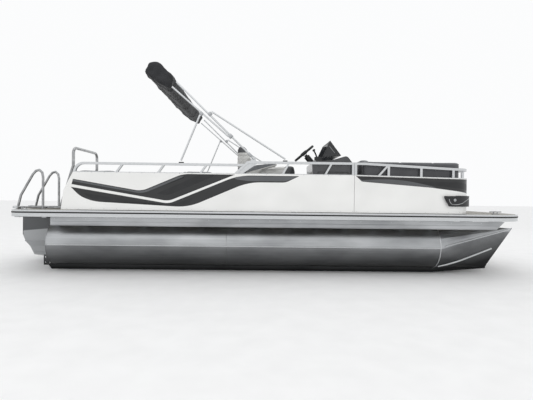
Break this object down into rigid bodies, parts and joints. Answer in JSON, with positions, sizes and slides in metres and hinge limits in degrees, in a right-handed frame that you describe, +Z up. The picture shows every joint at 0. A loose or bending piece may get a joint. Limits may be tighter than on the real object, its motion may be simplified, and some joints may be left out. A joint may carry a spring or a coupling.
{
  "type": "pontoon boat",
  "caption": "Pontoon boat on twin aluminium tubes with fenced deck, gates, lounges, helm, boarding ladder, tow bar and a folded bimini top.",
  "frame": {"origin": "on the floor at the bottom of the keels, at the middle of the overall length and beam", "axes": "+X to the bow, +Y to port, +Z up"},
  "size_m": [7.36, 2.59, 2.8461],
  "materials": {
    "mill_aluminium": "mill finish, brushed along the tubes",
    "anodised_aluminium": "satin anodised",
    "deck_vinyl": "woven vinyl flooring",
    "pod_paint": "dark grey paint",
    "transom_paint": "black paint",
    "skin_paint": "white enamel with dark grey swept bands",
    "black_plastic": "moulded, fine grain",
    "stainless_steel": "polished tube",
    "boot_canvas": "woven acrylic canvas, zipped",
    "seat_base_plastic": "rotomoulded, fine grain",
    "light_vinyl": "marine vinyl, light grey",
    "dark_vinyl": "marine vinyl, dark grey",
    "console_shell": "gelcoat, dark grey",
    "tinted_acrylic": "smoke tinted",
    "wheel_rubber": "soft moulded rim"
  },
  "bodies": {
    "hull": {"pontoon_starboard": "mill_aluminium", "pontoon_port": "mill_aluminium", "m_brackets": "mill_aluminium", "cross_members": "mill_aluminium", "deck": "deck_vinyl", "side_trims": "anodised_aluminium", "bow_trim": "anodised_aluminium", "stern_trim": "anodised_aluminium", "skirt_starboard": "mill_aluminium", "skirt_port": "mill_aluminium", "motor_pod": "pod_paint", "transom_plate": "transom_paint", "transducer_bracket": "mill_aluminium", "fence_starboard": "anodised_aluminium", "top_rail_starboard": "anodised_aluminium", "skin_starboard": "skin_paint", "fence_port": "anodised_aluminium", "top_rail_port": "anodised_aluminium", "skin_port": "skin_paint", "fence_bow_starboard": "anodised_aluminium", "fence_corner_starboard": "anodised_aluminium", "fence_front_starboard": "anodised_aluminium", "skin_bow_starboard": "skin_paint", "fence_bow_port": "anodised_aluminium", "fence_corner_port": "anodised_aluminium", "fence_front_port": "anodised_aluminium", "skin_bow_port": "skin_paint", "fence_stern": "anodised_aluminium", "skin_stern": "skin_paint", "gate_hinges": "anodised_aluminium", "docking_lights": "black_plastic", "tow_bar": "stainless_steel", "ladder_handrails": "stainless_steel", "ladder_hinges": "anodised_aluminium", "cleats": "stainless_steel", "bimini_mounts": "anodised_aluminium", "bow_lounge_bases": "seat_base_plastic", "bow_lounge_seats": "light_vinyl", "bow_lounge_backs": "dark_vinyl", "stern_lounge_bases": "seat_base_plastic", "stern_lounge_seats": "light_vinyl", "stern_lounge_backs": "dark_vinyl", "console": "console_shell", "windshield": "tinted_acrylic", "steering_column": "black_plastic", "throttle": "black_plastic", "chair_pedestal": "stainless_steel"},
    "bow_gate": {"bow_gate_frame": "anodised_aluminium", "bow_gate_skin": "skin_paint"},
    "side_gate": {"side_gate_frame": "anodised_aluminium", "side_gate_skin": "skin_paint"},
    "stern_gate": {"stern_gate_frame": "anodised_aluminium", "stern_gate_skin": "skin_paint"},
    "boarding_ladder": {"ladder": "stainless_steel"},
    "bimini": {"bimini_main_bow": "anodised_aluminium", "bimini_second_bow": "anodised_aluminium", "bimini_boot": "boot_canvas"},
    "rear_struts": {"bimini_rear_struts": "anodised_aluminium"},
    "front_struts": {"bimini_front_struts": "anodised_aluminium"},
    "helm_wheel": {"steering_wheel": "wheel_rubber"},
    "helm_chair": {"chair_seat": "light_vinyl", "chair_back": "light_vinyl", "chair_arms": "dark_vinyl"}
  },
  "joints": [
    {"name": "bow_gate_swing", "type": "hinge", "parent": "hull", "child": "bow_gate", "pos_m": [2.834, -0.322, 1.1], "axis": [0, 0, 1], "range_deg": [0, 95]},
    {"name": "side_gate_swing", "type": "hinge", "parent": "hull", "child": "side_gate", "pos_m": [0.568, 1.209, 1.1], "axis": [0, 0, -1], "range_deg": [0, 95]},
    {"name": "stern_gate_swing", "type": "hinge", "parent": "hull", "child": "stern_gate", "pos_m": [-2.444, -0.592, 1.1], "axis": [0, 0, -1], "range_deg": [0, 90]},
    {"name": "ladder_swing", "type": "hinge", "parent": "hull", "child": "boarding_ladder", "pos_m": [-3.355, -0.89, 0.875], "axis": [0, -1, 0], "range_deg": [0, 258]},
    {"name": "bimini_tilt", "type": "hinge", "parent": "hull", "child": "bimini", "pos_m": [-0.093, 0, 1.565], "axis": [0, 1, 0], "range_deg": [-36, 46]},
    {"name": "rear_strut_fold", "type": "hinge", "parent": "bimini", "child": "rear_struts", "pos_m": [-0.80987, 0, 2.11826], "axis": [0, -1, 0], "range_deg": [-98, 62]},
    {"name": "front_strut_fold", "type": "hinge", "parent": "bimini", "child": "front_struts", "pos_m": [-0.64599, 0, 2.16992], "axis": [0, 1, 0], "range_deg": [-16.1, 12.6]},
    {"name": "steering_turn", "type": "hinge", "parent": "hull", "child": "helm_wheel", "pos_m": [0.636, -0.75, 1.696], "axis": [-0.6494, 0, 0.7604], "range_deg": [-630, 630]},
    {"name": "chair_swivel", "type": "hinge", "parent": "hull", "child": "helm_chair", "pos_m": [0.02, -0.7, 1.25], "axis": [0, 0, 1], "continuous": true}
  ],
  "couplings": [
    {"joint": "front_strut_fold", "follows": "bimini_tilt", "ratio": -0.35}
  ]
}
